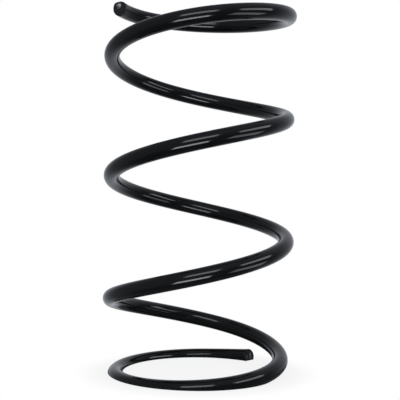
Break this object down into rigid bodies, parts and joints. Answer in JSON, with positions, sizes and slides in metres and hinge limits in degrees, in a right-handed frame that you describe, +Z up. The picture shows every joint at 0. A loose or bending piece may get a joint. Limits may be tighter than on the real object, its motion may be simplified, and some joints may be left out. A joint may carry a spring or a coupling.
{
  "type": "suspension spring",
  "caption": "Black painted helical compression spring of round wire, with a closed and ground lower end and an open upper end.",
  "frame": {"origin": "on the coil axis, in the plane of the ground lower seat", "axes": "+Z up the coil axis, from the ground seat to the upper end; -Y towards the viewer of the picture, +X to the viewer's right"},
  "size_m": [0.1582, 0.1591, 0.3115],
  "materials": {
    "paint_black": "gloss"
  },
  "bodies": {
    "root": {"coil": "paint_black"}
  },
  "joints": []
}
